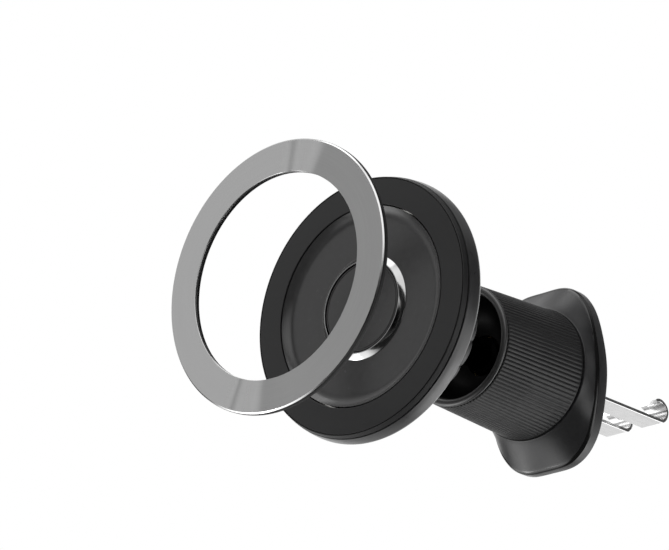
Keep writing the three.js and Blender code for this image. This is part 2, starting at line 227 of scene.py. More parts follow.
def rod_between(name, a, b, r, seg=24, taper=None):
    """A plain cutter: a round bar between two points in metres."""
    a, b = Vector(a), Vector(b)
    q = (b - a).to_track_quat("Z", "Y")
    verts, L = [], (b - a).length
    for end, rr in ((0, r), (L, r if taper is None else taper)):
        for i in range(seg):
            t = 2 * math.pi * i / seg
            verts.append(a + q @ Vector((rr * math.cos(t), rr * math.sin(t), end)))
    faces = [(i, (i + 1) % seg, seg + (i + 1) % seg, seg + i) for i in range(seg)]
    faces += [tuple(range(seg)), tuple(range(seg, 2 * seg))]
    return mesh_object(name, verts, faces, weighted=False)


# ----------------------------------------------------------------------------------------------------------- materials
class Nodes:
    """A small builder for a material's node tree."""

    def __init__(self, name):
        self.m = bpy.data.materials.new(name)
        self.m.use_nodes = True
        self.t = self.m.node_tree
        self.t.nodes.clear()
        self.out = self.add("ShaderNodeOutputMaterial")
        self.b = self.add("ShaderNodeBsdfPrincipled")
        self.link(self.b.outputs[0], self.out.inputs[0])
        self.pos = self.add("ShaderNodeTexCoord").outputs["Object"]

    def add(self, kind, **props):
        n = self.t.nodes.new(kind)
        for k, v in props.items():
            setattr(n, k, v)
        return n

    def link(self, a, b):
        self.t.links.new(a, b)

    def set(self, node, **vals):
        for k, v in vals.items():
            node.inputs[k].default_value = v

    def math(self, op, a, b=None, clamp=False):
        n = self.add("ShaderNodeMath", operation=op, use_clamp=clamp)
        for i, x in enumerate((a, b)):
            if x is None:
                continue
            if isinstance(x, (int, float)):
                n.inputs[i].default_value = x
            else:
                self.link(x, n.inputs[i])
        return n.outputs[0]

    def scaled(self, sx, sy, sz, src=None):
        n = self.add("ShaderNodeVectorMath", operation="MULTIPLY")
        self.link(src or self.pos, n.inputs[0])
        n.inputs[1].default_value = (sx, sy, sz)
        return n.outputs[0]

    def noise(self, vec, scale, detail=4.0, rough=0.55):
        n = self.add("ShaderNodeTexNoise")
        self.link(vec, n.inputs["Vector"])
        self.set(n, Scale=scale, Detail=detail, Roughness=rough)
        return n.outputs["Fac"]

    def remap(self, x, a, b, lo, hi):
        n = self.add("ShaderNodeMapRange")
        self.link(x, n.inputs["Value"])
        n.inputs["From Min"].default_value, n.inputs["From Max"].default_value = a, b
        n.inputs["To Min"].default_value, n.inputs["To Max"].default_value = lo, hi
        return n.outputs["Result"]

    def ramp(self, x, stops):
        n = self.add("ShaderNodeValToRGB")
        self.link(x, n.inputs[0])
        e = n.color_ramp.elements
        while len(e) < len(stops):
            e.new(0.5)
        for k, (p, c) in enumerate(stops):
            e[k].position = p
            e[k].color = (*c, 1.0)
        return n.outputs["Color"]

    def bump(self, height, strength, distance):
        n = self.add("ShaderNodeBump")
        self.set(n, Strength=strength, Distance=distance)
        self.link(height, n.inputs["Height"])
        self.link(n.outputs["Normal"], self.b.inputs["Normal"])
        return n

    def polar(self, cz=0.0):
        """(radius about the main axis, angle, y) as separate values."""
        s = self.add("ShaderNodeSeparateXYZ")
        self.link(self.pos, s.inputs[0])
        z = self.math("SUBTRACT", s.outputs["Z"], cz)
        x = s.outputs["X"]
        r = self.math("SQRT", self.math("ADD", self.math("MULTIPLY", x, x), self.math("MULTIPLY", z, z)))
        a = self.math("ARCTAN2", z, x)
        return r, a, s.outputs["Y"]

    def vec(self, x, y, z):
        c = self.add("ShaderNodeCombineXYZ")
        for i, v in enumerate((x, y, z)):
            if isinstance(v, (int, float)):
                c.inputs[i].default_value = v
            else:
                self.link(v, c.inputs[i])
        return c.outputs[0]


def plastic(name, color, rough, grain=5200.0, grain_depth=0.00001, bump=0.2, spread=0.12, spec=0.5, coat=0.0, coat_rough=0.2, mottling=700.0):
    """Moulded plastic: a fine spark-eroded grain, slow changes of tone and gloss."""
    n = Nodes(name)
    slow = n.noise(n.pos, mottling, 3.0)
    fine = n.noise(n.pos, grain, 3.0, 0.6)
    dark, light = [c * (1 - spread) for c in color], [min(1, c * (1 + spread)) for c in color]
    mixed = n.math("ADD", n.math("MULTIPLY", slow, 0.6), n.math("MULTIPLY", fine, 0.4))
    n.link(n.ramp(mixed, [(0.35, dark), (0.65, light)]), n.b.inputs["Base Color"])
    n.link(n.remap(mixed, 0.3, 0.7, rough - 0.05, rough + 0.06), n.b.inputs["Roughness"])
    n.set(n.b, **{"Specular IOR Level": spec, "Coat Weight": coat, "Coat Roughness": coat_rough})
    n.bump(fine, bump, grain_depth)
    return n.m


def metal_turned(name, color, rough, cz=0.0, lines=9000.0, bump=0.25, aniso=0.6, spread=0.1):
    """Turned or radially polished metal: fine concentric lines about the main axis."""
    n = Nodes(name)
    r, a, y = n.polar(cz)
    rings = n.noise(n.vec(n.math("MULTIPLY", r, lines), n.math("MULTIPLY", a, 1.5), n.math("MULTIPLY", y, lines)), 1.0, 3.0, 0.7)
    slow = n.noise(n.pos, 260.0, 2.0)
    both = n.math("ADD", n.math("MULTIPLY", rings, 0.7), n.math("MULTIPLY", slow, 0.3))
    dark, light = [c * (1 - spread) for c in color], [min(1, c * (1 + spread)) for c in color]
    n.link(n.ramp(both, [(0.3, dark), (0.7, light)]), n.b.inputs["Base Color"])
    n.link(n.remap(both, 0.3, 0.7, rough - 0.06, rough + 0.06), n.b.inputs["Roughness"])
    n.set(n.b, Metallic=1.0, Anisotropic=aniso)
    t = n.add("ShaderNodeTangent", direction_type="RADIAL", axis="Y")
    n.link(t.outputs[0], n.b.inputs["Tangent"])
    n.bump(rings, bump, 0.000004)
    return n.m


def metal_plain(name, color, rough, stretch=(2500.0, 60.0, 2500.0), bump=0.2, spread=0.1):
    """Pressed, drawn or plated metal with fine lines along one direction."""
    n = Nodes(name)
    lines = n.noise(n.scaled(*stretch), 1.0, 4.0, 0.65)
    slow = n.noise(n.pos, 500.0, 2.0)
    both = n.math("ADD", n.math("MULTIPLY", lines, 0.6), n.math("MULTIPLY", slow, 0.4))
    dark, light = [c * (1 - spread) for c in color], [min(1, c * (1 + spread)) for c in color]
    n.link(n.ramp(both, [(0.3, dark), (0.7, light)]), n.b.inputs["Base Color"])
    n.link(n.remap(both, 0.3, 0.7, max(0.03, rough - 0.06), rough + 0.06), n.b.inputs["Roughness"])
    n.set(n.b, Metallic=1.0)
    n.bump(lines, bump, 0.000004)
    return n.m


def rubber(name, color, rough=0.8):
    n = Nodes(name)
    fine = n.noise(n.pos, 7000.0, 5.0, 0.7)
    slow = n.noise(n.pos, 420.0, 3.0)
    n.link(n.ramp(n.math("ADD", n.math("MULTIPLY", slow, 0.5), n.math("MULTIPLY", fine, 0.5)),
                  [(0.35, [c * 0.75 for c in color]), (0.65, [c * 1.3 for c in color])]), n.b.inputs["Base Color"])
    n.link(n.remap(fine, 0.3, 0.7, rough - 0.08, rough + 0.08), n.b.inputs["Roughness"])
    n.set(n.b, **{"Specular IOR Level": 0.35})
    n.bump(fine, 0.35, 0.00002)
    return n.m


def paint_throat_shade(mat, slot_in, s_from, s_to, colour):
    """Paints shade into a material behind a plane across the main axis: the throat of the funnel darkens with depth as
    painted shade, and its specular level is dulled with it.
    """
    nt = mat.node_tree
    b = next(n for n in nt.nodes if n.type == "BSDF_PRINCIPLED")
    src = b.inputs["Base Color"].links[0].from_socket
    tc = next(n for n in nt.nodes if n.type == "TEX_COORD")
    sep = nt.nodes.new("ShaderNodeSeparateXYZ")
    nt.links.new(tc.outputs["Object"], sep.inputs[0])
    mr = nt.nodes.new("ShaderNodeMapRange")
    mr.inputs["From Min"].default_value, mr.inputs["From Max"].default_value = y_of(s_from), y_of(s_to)
    nt.links.new(sep.outputs["Y"], mr.inputs["Value"])
    # painted shade: the colour blends to the dark shade colour deeper in the throat
    mix = nt.nodes.new("ShaderNodeMix")
    mix.data_type = "RGBA"
    nt.links.new(mr.outputs["Result"], mix.inputs[0])
    nt.links.new(src, mix.inputs[6])
    mix.inputs[7].default_value = (*colour, 1)
    nt.links.new(mix.outputs[2], b.inputs["Base Color"])
    # the specular level falls along with the painted shade
    throat_shade_spec = nt.nodes.new("ShaderNodeMapRange")
    throat_shade_spec.inputs["To Min"].default_value, throat_shade_spec.inputs["To Max"].default_value = 1.0, 0.06
    nt.links.new(mr.outputs["Result"], throat_shade_spec.inputs["Value"])
    nt.links.new(throat_shade_spec.outputs["Result"], b.inputs["Specular IOR Level"])
    return mat


def metal_fanned(name, color, stops, cz):
    """Cross-polished ring: one metal whose gloss changes in fans round the ring, over fine concentric lines."""
    n = Nodes(name)
    r, a, y = n.polar(cz)
    rings = n.noise(n.vec(n.math("MULTIPLY", r, 9000.0), n.math("MULTIPLY", a, 1.5), n.math("MULTIPLY", y, 9000.0)), 1.0, 3.0, 0.7)
    turn = n.math("ADD", n.math("MULTIPLY", a, 1 / (2 * math.pi)), 0.5)
    gloss = n.ramp(turn, [((deg + 180) / 360, (v, v, v)) for deg, v in stops])
    grey = n.add("ShaderNodeRGBToBW")
    n.link(gloss, grey.inputs[0])
    n.link(n.ramp(rings, [(0.3, tuple(c * 0.94 for c in color)), (0.7, color)]), n.b.inputs["Base Color"])
    n.link(grey.outputs[0], n.b.inputs["Roughness"])
    n.set(n.b, Metallic=1.0)
    n.bump(rings, 0.15, 0.000003)
    return n.m


RING_GLOSS = [(-180, .20), (-119.5, .20), (-113.7, 1.0), (-106.5, .22), (-96.5, 1.0), (-80, .97), (-25, 1.0), (40, 1.0), (61, 1.0), (72.5, .22), (79.5, 1.0), (87, .20), (180, .20)]
M = {
    "black_satin_plastic": plastic("satin_black", (0.020, 0.020, 0.021), 0.34, bump=0.10),
    "front_band_plastic": plastic("front_band", (0.0105, 0.0105, 0.011), 0.50, grain=8000, bump=0.12),
    "face_plastic": plastic("face_grey", (0.045, 0.0445, 0.045), 0.22, grain=9000, bump=0.04, spread=0.05),
    "grip_plastic": plastic("grip_black", (0.0105, 0.0105, 0.011), 0.44, bump=0.10, spec=0.36),
    # the funnel's throat is darkened with depth as painted shade
    "inner_plastic": paint_throat_shade(plastic("inner_black_painted_shade", (0.022, 0.022, 0.022), 0.40, bump=0.10, spec=0.8), None, 31.6, 32.6, (0.0025, 0.0025, 0.0025)),
    "nylon": plastic("nylon_white", (0.62, 0.60, 0.54), 0.45, bump=0.2, spread=0.05),
    "pad_rubber": rubber("pad_rubber", (0.014, 0.014, 0.014)),
    "backing_rubber": rubber("backing_film", (0.004, 0.004, 0.004), 0.6),
    "ring_steel": metal_fanned("ring_steel", (0.62, 0.62, 0.62), RING_GLOSS, RING_Z),
    "chrome_trim": metal_turned("chrome_trim", (0.38, 0.38, 0.38), 0.12, bump=0.03, aniso=0.2, spread=0.03),
    "hook_steel": metal_plain("hook_steel", (0.82, 0.82, 0.82), 0.20),
    "rod_steel": metal_turned("rod_black_steel", (0.012, 0.012, 0.013), 0.40, aniso=0.2),
    "screw_steel": metal_plain("screw_steel", (0.50, 0.50, 0.50), 0.30, stretch=(900, 900, 900)),
    "spring_steel": metal_plain("spring_steel", (0.40, 0.40, 0.41), 0.35, stretch=(1500, 200, 1500)),
    "magnet_nickel": metal_plain("magnet_nickel", (0.68, 0.67, 0.65), 0.16, stretch=(700, 700, 700)),
    "brass": metal_turned("brass", (0.34, 0.24, 0.10), 0.45),
}
SHELL_SATIN = plastic("shell_satin", (0.028, 0.028, 0.029), 0.31, bump=0.08, spec=0.95)
RING_EDGE = metal_turned("ring_edge", (0.55, 0.55, 0.55), 0.20, cz=RING_Z, bump=0.03, aniso=0.2, spread=0.03)
# The flange chamfer is polished, and its near-black colour is painted shade.
EDGE_GLOSS_AND_SHADE = plastic("edge_gloss_painted_shade", (0.004, 0.004, 0.004), 0.16, bump=0.04, spec=0.6)
SLOT_OF = {p["node"]: p["material_slot"] for p in frame["record"]["subparts"]}
BODY_OF = {n: b for b, ns in frame["record"]["behaviour"]["bodies"].items() for n in ns}


def stand_for(o, node, slot=None):
    """o takes the place of a CAD node: same body, same finish."""
    o.data.materials.clear()
    o.data.materials.append(M[slot or SLOT_OF[node]])
    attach(o, BODY_OF[node])
    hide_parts(node)
    return o


# ---------------------------------------------------------------------------------------------------------- steel ring
s0 = RING_LO.y * 1000 + REACH
steel = lathe("steel_ring_turned", rounded([
    (21.2, s0, 0.10), (27.64, s0, 0.03), (27.92, s0 + 0.22, 0.03), (28.0, s0 + 0.62, 0.04), (21.2, s0 + 0.62, 0.10)], n=4),
    seg=256, dz=RING_Z)
stand_for(steel, "steel_ring")
steel.data.materials.append(M["backing_rubber"])        # the ring's outer rim faces take the black film's material
steel.data.materials.append(RING_EDGE)                  # the chamfer is polished
for f in steel.data.polygons:
    out = math.hypot(f.center.x, f.center.z - RING_Z)
    if abs(f.normal.y) < 0.45 and out > 0.0275:
        f.material_index = 1
    elif -0.93 < f.normal.y < -0.45 and out > 0.0273:
        f.material_index = 2
stand_for(lathe("ring_backing_film", rounded([
    (21.24, s0 + 0.62), (27.96, s0 + 0.62), (27.96, s0 + 1.3, 0.15), (21.24, s0 + 1.3, 0.15)], n=4), seg=256, dz=RING_Z), "ring_backing")

# ---------------------------------------------------------------------------------------------------------------- head
stand_for(lathe("front_cover_band", rounded([
    (21.2, 0.0, 0.14), (26.58, 0.0, 0.05), (26.62, 0.28, 0.02), (26.76, 0.28, 0.02), (26.80, 0.02, 0.06), (26.95, 0.04, 0.08),
    (27.25, 1.1, 0.10), (26.2, 1.1), (26.2, 3.4, 0.15), (25.3, 3.4, 0.15), (25.3, 1.6), (21.2, 1.6, 0.1)], n=4), seg=256), "front_cover")
cove = [(18.2 + 2.7 * u, 1.45 - 1.33 * u ** 2.1) for u in np.linspace(0, 1, 15)]
stand_for(lathe("face_disc_coved", [(0, 1.45), (9.0, 1.45), (16.0, 1.45)] + cove + [(20.93, 0.16), (20.93, 1.2), (19.4, 2.2), (0, 2.2)],
                seg=224, closed=False), "face_disc")
stand_for(lathe("chrome_ring_bevelled", rounded([
    (9.62, 0.9), (9.68, 0.58, 0.05), (9.86, 0.54, 0.05), (11.06, 1.30, 0.12), (11.1, 1.44), (9.62, 1.44)], n=4), seg=192), "chrome_ring")
stand_for(lathe("centre_cap_disc", rounded([
    (0, 0.72), (8.9, 0.72, 0.05), (8.97, 0.90, 0.03), (9.07, 0.90, 0.03), (9.14, 0.72, 0.05), (9.32, 0.74, 0.05), (9.34, 1.43), (0, 1.43)],
    closed=False, n=3), seg=192, closed=False), "centre_cap")

for i in range(12):
    node = f"magnet_{i + 1:02d}"
    pitch = 2 * math.pi / 12
    a0, a1 = i * pitch - pitch / 2 + 0.0153, i * pitch + pitch / 2 - 0.0153
    arc_o = [(25.0 * math.cos(t), 25.0 * math.sin(t)) for t in np.linspace(a0, a1, 15)]
    arc_i = [(20.6 * math.cos(t), 20.6 * math.sin(t)) for t in np.linspace(a1, a0, 15)]
    flat = arc_o + arc_i
    o = rings_object(node + "_arc", [[(x / 1000, y_of(s), z / 1000) for x, z in flat] for s in (2.05, 4.4)], closed=False, caps=True)
    o.modifiers.clear()
    b = o.modifiers.new("bevel", "BEVEL")
    b.width, b.segments, b.limit_method, b.angle_limit = 0.0002, 3, "ANGLE", math.radians(40)
    apply_all(o)
    stand_for(o, node)
stand_for(lathe("yoke_ring_plate", rounded([(20.6, 4.7, .12), (23.9, 4.7, .12), (23.9, 5.3, .12), (20.6, 5.3, .12)], n=3), seg=160), "yoke_ring")

SCREWS = []
for k in range(3):
    lo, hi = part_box(f"head_screw_{k + 1}")
    SCREWS.append((((lo + hi) / 2).x, ((lo + hi) / 2).z))
carrier = lathe("magnet_carrier_tray", rounded([
    (12.3, 5.6, .15), (19.2, 5.6, .2), (19.2, 2.7, .2), (20.2, 2.7, .2), (20.2, 5.6), (21.9, 5.6, .1), (21.9, 6.3, .2), (12.3, 6.3, .15)], n=3), seg=144)
boolean(carrier, [rod_between(f"cut_carrier_{k}", (x, y_of(5), z), (x, y_of(8), z), 0.00115) for k, (x, z) in enumerate(SCREWS)])
stand_for(carrier, "magnet_carrier")


def ball_arc(R, a0, a1, n):
    return [(R * math.sin(math.radians(a)) if a > 1e-6 else 0.0, BALL_S - R * math.cos(math.radians(a))) for a in np.linspace(a0, a1, n)]


outer = smooth_path([(27.36, 1.42), (27.55, 2.4), (27.66, 3.4), (27.68, 4.0), (27.56, 4.45), (27.25, 4.82), (26.7, 5.3), (25.6, 6.1), (23.4, 7.6),
                     (20.6, 9.2), (17.6, 10.4), (14.4, 11.2), (12.3, 11.4)], 4)
inner_bowl = [(0, 3.4), (3.2, 3.85), (5.9, 5.0), (8.2, 6.8), (10.0, 8.1), (18.4, 8.1), (20.4, 7.7), (23.2, 6.35), (25.4, 4.85), (26.5, 3.7),
              (26.5, 1.55), (26.65, 1.4), (27.24, 1.4)]
a_edge = math.degrees(math.acos((BALL_S - 16.3) / 10.1))
shell = lathe("rear_shell_dome", inner_bowl + outer + [(12.1, 11.7), (12.1, 16.1), (11.9, 16.3)] + ball_arc(10.1, a_edge, 0, 22), seg=240, closed=False)
cutters = []
for k, (x, z) in enumerate(SCREWS):
    cutters.append(rod_between(f"cut_shell_{k}", (x, y_of(7), z), (x, y_of(13), z), 0.00115))
    cutters.append(rod_between(f"cut_recess_{k}", (x, y_of(9.3), z), (x, y_of(13), z), 0.0023, 40))
boolean(shell, cutters)
stand_for(shell, "rear_shell")
shell.data.materials[0] = SHELL_SATIN


def screw(node, x, z, prof, head_s, recess_r, depth):
    """A machine screw with a cross recess in its head."""
    o = lathe(node + "_turned", rounded(prof, closed=False, n=4), seg=48, closed=False)
    o.data.transform(Matrix.Translation((x, 0, z)))
    w = 0.22
    cuts = [box_object(node + "_c1", (x * 1000 - recess_r, head_s - depth, z * 1000 - w), (x * 1000 + recess_r, head_s + 0.4, z * 1000 + w)),
            box_object(node + "_c2", (x * 1000 - w, head_s - depth, z * 1000 - recess_r), (x * 1000 + w, head_s + 0.4, z * 1000 + recess_r))]
    boolean(o, cuts)
    return stand_for(o, node)


for k, (x, z) in enumerate(SCREWS):
    screw(f"head_screw_{k + 1}", x, z, [(0, 5.4), (0.55, 5.4), (0.85, 6.2), (0.85, 9.6), (2.0, 9.6, .1), (2.0, 10.15, .3), (1.2, 10.43, .3), (0, 10.45)], 10.45, 1.05, 0.5)

# ------------------------------------------------------------------------------------------------- ball joint and its nut
stand_for(lathe("ball_seat_pad_cup", ball_arc(9.8, 0, 48, 14) + ball_arc(8.8, 48, 0, 14), seg=120, closed=False), "ball_seat_pad")
stand_for(lathe("ball_seat_ring_split", ball_arc(9.8, 80, 114, 12) + ball_arc(8.8, 114, 80, 12), seg=144), "ball_seat_ring")


def lobed(th, r, s):
    if r < 13.0:
        return np.full(len(th), r)
    w = np.abs(np.sin(th * 8.0)) ** 0.45
    return r - 0.6 * (1 - w)


nut_in = [(10.1, 16.6)] + [(10.1 * math.sin(math.radians(a)), BALL_S - 10.1 * math.cos(math.radians(a))) for a in (106, 114, 121.5)]
nut_prof = rounded([(12.4, 12.0, .1), (14.1, 12.0, .3), (14.6, 12.6, .3), (14.6, 19.7, .3), (13.9, 20.5, .35), (8.75, 20.5, .25)]
                   + nut_in[::-1] + [(12.4, 16.6, .05)], n=4)
stand_for(lathe("collar_nut_lobed", nut_prof, seg=512, mod=lobed), "collar_nut")

# Rod: ball, neck and a shank whose thread is a height field on the cylinder.
lead, starts = 3.0, 2
rod_prof = ball_arc(BALL_R, 0, 156.5, 40)
rod_prof += rounded([rod_prof[-1], (3.2, BALL_S + 8.4, .8), (3.2, 38.6, .3), (3.95, 39.4)], closed=False, n=5)[1:]
rod_prof += [(3.95, s) for s in np.arange(39.6, 52.6, 0.125)]
rod_prof += [(3.7, 52.85), (3.2, 53.0), (0, 53.0)]


def thread(th, r, s):
    if not 40.7 <= s <= 52.6 or r < 3.8:
        return np.full(len(th), r)
    phase = (s / lead - th / (2 * math.pi)) * starts
    tri = np.abs((phase % 1.0) * 2 - 1)
    fade = max(0.0, min(1.0, (s - 40.7) / 0.8, (52.6 - s) / 0.6))
    return r - 0.55 * fade * np.clip(tri * 1.5 - 0.25, 0, 1)


rod = lathe("ball_rod_turned", rod_prof, seg=96, closed=False, mod=thread, sharp=50)
tang = box_object("tang", (-5.6, 52.72, -2.0), (5.6, 60.6, 1.2), bevel=0.25)
boolean(rod, [tang], "UNION")
boolean(rod, [rod_between(f"cut_tang_{k}", (x / 1000, y_of(56.2), -0.006), (x / 1000, y_of(56.2), 0.006), 0.0013) for k, x in enumerate((-3.3, 3.3))])
stand_for(rod, "ball_rod")

# ---------------------------------------------------------------------------------------------------------------- hook
LO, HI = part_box("hook_fork")
ZB = LO.z * 1000                       # underside of the prongs
T = 0.8
path = [(60.2, ZB + T / 2), (70.0, ZB + T / 2), (80.0, ZB + T / 2), (92.0, ZB + T / 2)]
path += smooth_path([(92.0, ZB + T / 2), (92.75, ZB + T / 2 + 0.02), (93.4, -2.52), (94.2, -1.85), (94.75, -0.95), (94.9, 0.0), (94.6, 0.8), (93.95, 1.42),
                     (93.1, 1.82), (92.2, 1.95), (91.35, 1.75), (90.9, 1.45)], 5)[1:]


def prong(name, x0, x1):
    """The strip is swept along its path with rounded long edges."""
    pts = [np.array(p, float) for p in path]
    sections = []
    hw, e = (x1 - x0) / 2, 0.12
    cx = (x0 + x1) / 2
    cross = []
    for sx, st in ((1, 1), (-1, 1), (-1, -1), (1, -1)):
        for k in range(4):
            base = {(1, 1): 0, (-1, 1): 90, (-1, -1): 180, (1, -1): 270}[(sx, st)]
            t = math.radians(base + 30 * k)
            cross.append((sx * (hw - e) + e * math.cos(t), st * (T / 2 - e) + e * math.sin(t)))
    for i, p in enumerate(pts):
        a, b = pts[max(0, i - 1)], pts[min(len(pts) - 1, i + 1)]
        t = (b - a) / np.linalg.norm(b - a)
        nrm = np.array([-t[1], t[0]])
        sections.append([((cx + u) / 1000, y_of(p[0] + nrm[0] * v), (p[1] + nrm[1] * v) / 1000) for u, v in cross])
    return rings_object(name, sections, closed=False, caps=True, sharp=40)


fork = box_object("hook_fork_pressed", (LO.x * 1000, 53.4, ZB), (HI.x * 1000, 60.6, ZB + T), bevel=0.1, segments=2)
boolean(fork, [prong("prong_a", 2.05, 7.55), prong("prong_b", -7.55, -2.05)], "UNION", sharp=40)
boolean(fork, [rod_between(f"cut_fork_{k}", (x / 1000, y_of(56.2), -0.006), (x / 1000, y_of(56.2), 0.006), 0.0013) for k, x in enumerate((-3.3, 3.3))], sharp=40)
stand_for(fork, "hook_fork")
for k, x in enumerate((-3.3, 3.3)):
    node = f"fork_rivet_{k + 1}"
    prof = rounded([(0, -4.2), (1.3, -4.15, .5), (2.1, -3.7, .2), (2.1, -3.4, .05), (1.0, -3.4), (1.0, 1.5), (2.1, 1.5, .05), (2.1, 1.8, .2), (1.3, 2.25, .5), (0, 2.3)], closed=False, n=4)
    verts, faces, seg = [], [], 40
    rings = []
    for r, z in prof:
        if r < 1e-6:
            rings.append([len(verts)]); verts.append((x / 1000, y_of(56.2), z / 1000)); continue
        rings.append(list(range(len(verts), len(verts) + seg)))
        for i in range(seg):
            t = 2 * math.pi * i / seg
            verts.append(((x + r * math.cos(t)) / 1000, y_of(56.2) + r * math.sin(t) / 1000, z / 1000))
    for a, b in zip(rings, rings[1:]):
        for i in range(seg):
            j = (i + 1) % seg
            if len(a) == 1: faces.append((a[0], b[i], b[j]))
            elif len(b) == 1: faces.append((a[i], a[j], b[0]))
            else: faces.append((a[i], a[j], b[j], b[i]))
    stand_for(mesh_object(node + "_domed", verts, faces), node)

# -------------------------------------------------------------------------------------------------------------- sleeve
GRIP = (31.85, 13.20, 55.4, 14.34)
RIBS = 96


def cone(s):
    return GRIP[1] + (s - GRIP[0]) * (GRIP[3] - GRIP[1]) / (GRIP[2] - GRIP[0])


stand_for(lathe("funnel_insert_dished", smooth_path([
    (4.4, 39.8), (5.6, 39.62), (7.4, 38.8), (9.1, 37.2), (10.25, 35.2), (11.0, 33.1), (11.36, 31.85), (11.5, 31.35), (11.78, 30.95),
    (12.25, 30.74), (12.72, 30.80), (13.02, 31.02), (13.13, 31.3)], 4) + [(13.08, 31.48), (12.1, 31.58), (11.98, 32.2), (11.6, 35.4), (8.6, 40.0), (4.4, 41.0)],
    seg=224), "funnel_insert")
stand_for(lathe("drive_nut_turned", rounded([
    (4.35, 41.4, .2), (11.4, 41.4, .2), (11.4, 44.2, .2), (7.2, 44.2, .1), (7.2, 46.3, .3), (4.35, 46.3, .2)], n=3), seg=160,
    mod=lambda th, r, s: np.full(len(th), r) if r < 11.0 else r - 0.12 * (0.5 + 0.5 * np.cos(80 * th))), "drive_nut")


def ribs(th, r, s):
    if r < 12.6:
        return np.full(len(th), r)
    c = 1.0 - np.abs(np.cos(RIBS / 2 * th))
    return r - 0.17 * min(1.0, max(0.12, (S_B - 0.2 - s) / 0.5)) * c


S_A, S_B = GRIP[0], GRIP[2]
stations = [S_A, S_A + .05, S_A + .16, S_A + .4] + list(np.linspace(33.5, 54.4, 12)) + [S_B - .7, S_B - .5, S_B - .3, S_B - .1, S_B]
edge_in = {0: 0.14, 1: 0.05, len(stations) - 1: 0.10, len(stations) - 2: 0.02}
sleeve_prof = [(cone(s) - edge_in.get(k, 0.0), s) for k, s in enumerate(stations)]
sleeve_prof += [(10.8, S_B), (10.8, 49.1), (11.7, 49.1), (11.7, 36.4), (12.35, 35.4), (12.35, S_A)]
stand_for(lathe("knurled_sleeve_ribbed", sleeve_prof, seg=RIBS * 8, mod=ribs, sharp=60), "knurled_sleeve")

# ---------------------------------------------------------------------------------------------------------------- base
QUARTER = [(0, 20.2), (1.6, 20.2), (3.2, 20.18), (4.7, 20.05), (6.3, 19.65), (8.0, 18.85), (9.6, 17.6), (10.85, 16.1), (12.0, 14.2), (13.0, 11.6),
           (13.8, 8.4), (14.4, 5.0), (14.7, 2.4)]


def outline(d=0.0, n=4):
    q = QUARTER + [(14.8, 0.0)]
    full = q + [(x, -z) for x, z in q[-2:0:-1]] + [(0, -20.2)] + [(-x, -z) for x, z in q[1:]] + [(-x, z) for x, z in q[-2:0:-1]]
    pts = np.array(smooth_path(full, n, closed=True))
    if d:
        t = np.roll(pts, -1, 0) - np.roll(pts, 1, 0)
        t /= np.linalg.norm(t, axis=1)[:, None]
        pts = pts + np.stack([-t[:, 1], t[:, 0]], 1) * d
    return pts


OUT = outline()
DIR = OUT / np.linalg.norm(OUT, axis=1)[:, None]
SIDE = np.abs(DIR[:, 0]) ** 1.5        # 1 at the flange's sides, 0 at its top and bottom


def ring3(pts, s):
    s = np.broadcast_to(s, (len(pts),))
    return [(x / 1000, y_of(q), z / 1000) for (x, z), q in zip(pts, s)]


s_edge = 60.75 - 1.0 * SIDE
sec = [ring3(DIR * 8.8, 61.0), ring3(DIR * 8.8, 47.2), ring3(DIR * 9.0, 47.0), ring3(DIR * 10.3, 47.0), ring3(DIR * 10.5, 47.2), ring3(DIR * 10.5, 47.5),
       ring3(DIR * 9.6, 47.5), ring3(DIR * 9.6, 49.1), ring3(DIR * 10.5, 49.1), ring3(DIR * 10.5, 55.75), ring3(DIR * 11.2, 55.75), ring3(DIR * 11.2, 56.65),
       ring3(DIR * 13.4, 56.65), ring3(DIR * 13.4, 55.75), ring3(DIR * 14.54, 55.75), ring3(DIR * 14.62, 55.80)]
START, INSET = DIR * 14.64, outline(-0.42)
for t in np.linspace(0.03, 0.965, 16):
    g = t ** 1.12
    sec.append(ring3(START + (INSET - START) * g, 55.85 + (s_edge - 55.85) * t))
sec += [ring3(outline(-0.34), s_edge - 0.03), ring3(outline(-0.24), s_edge + 0.10), ring3(outline(-0.06), s_edge + 0.42), ring3(OUT, s_edge + 0.62),
        ring3(OUT, 62.95), ring3(outline(-0.10), 63.2), ring3(outline(-0.35), 63.3), ring3(outline(-1.6), 63.3), ring3(outline(-1.7), 63.2), ring3(outline(-1.7), 61.0)]
flange = stand_for(rings_object("clamp_base_flared", sec, closed=True, sharp=32), "clamp_base")
flange.data.materials.append(EDGE_GLOSS_AND_SHADE)                # the chamfer is polished, and painted near black as painted shade
for f in flange.data.polygons:
    rad = math.hypot(f.center.x, f.center.z)
    edge = 60.75 - abs(f.center.x / rad) ** 1.5
    if rad > 0.0137 and edge - 0.15 < f.center.y * 1000 + REACH < edge + 0.60:
        f.material_index = 1


def slots(tag):
    lo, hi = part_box("hook_fork")
    return [box_object(f"{tag}_{k}", (k * 4.8 - 3.15, 58, -3.5), (k * 4.8 + 3.15, 68, 2.8), bevel=0.5) for k in (-1, 1)]


def prism(name, d, s0, s1, round_to):
    a, b = outline(d), outline(d - round_to)
    c = [ring3(b, s0), ring3(a, s0 + round_to), ring3(a, s1 - round_to), ring3(b, s1)]
    return rings_object(name, c, closed=False, caps=True, sharp=50)


plate = prism("back_plate_slotted", -2.0, 61.3, 63.3, 0.15)
boolean(plate, slots("cut_plate") + [rod_between(f"cut_ps_{z}", (0, y_of(60), z / 1000), (0, y_of(65), z / 1000), 0.00125) for z in (-15.4, 15.4)]
        + [rod_between(f"cut_pr_{z}", (0, y_of(62.2), z / 1000), (0, y_of(65), z / 1000), 0.0024, 36) for z in (-15.4, 15.4)])
stand_for(plate, "back_plate")
for k, z in enumerate((-15.4, 15.4)):
    screw(f"plate_screw_{k + 1}", 0.0, z / 1000, [(0, 59.8), (0.7, 59.8), (0.95, 60.4), (0.95, 62.5), (2.1, 62.5, .1), (2.1, 63.2, .2), (0, 63.2)], 63.2, 1.1, 0.45)

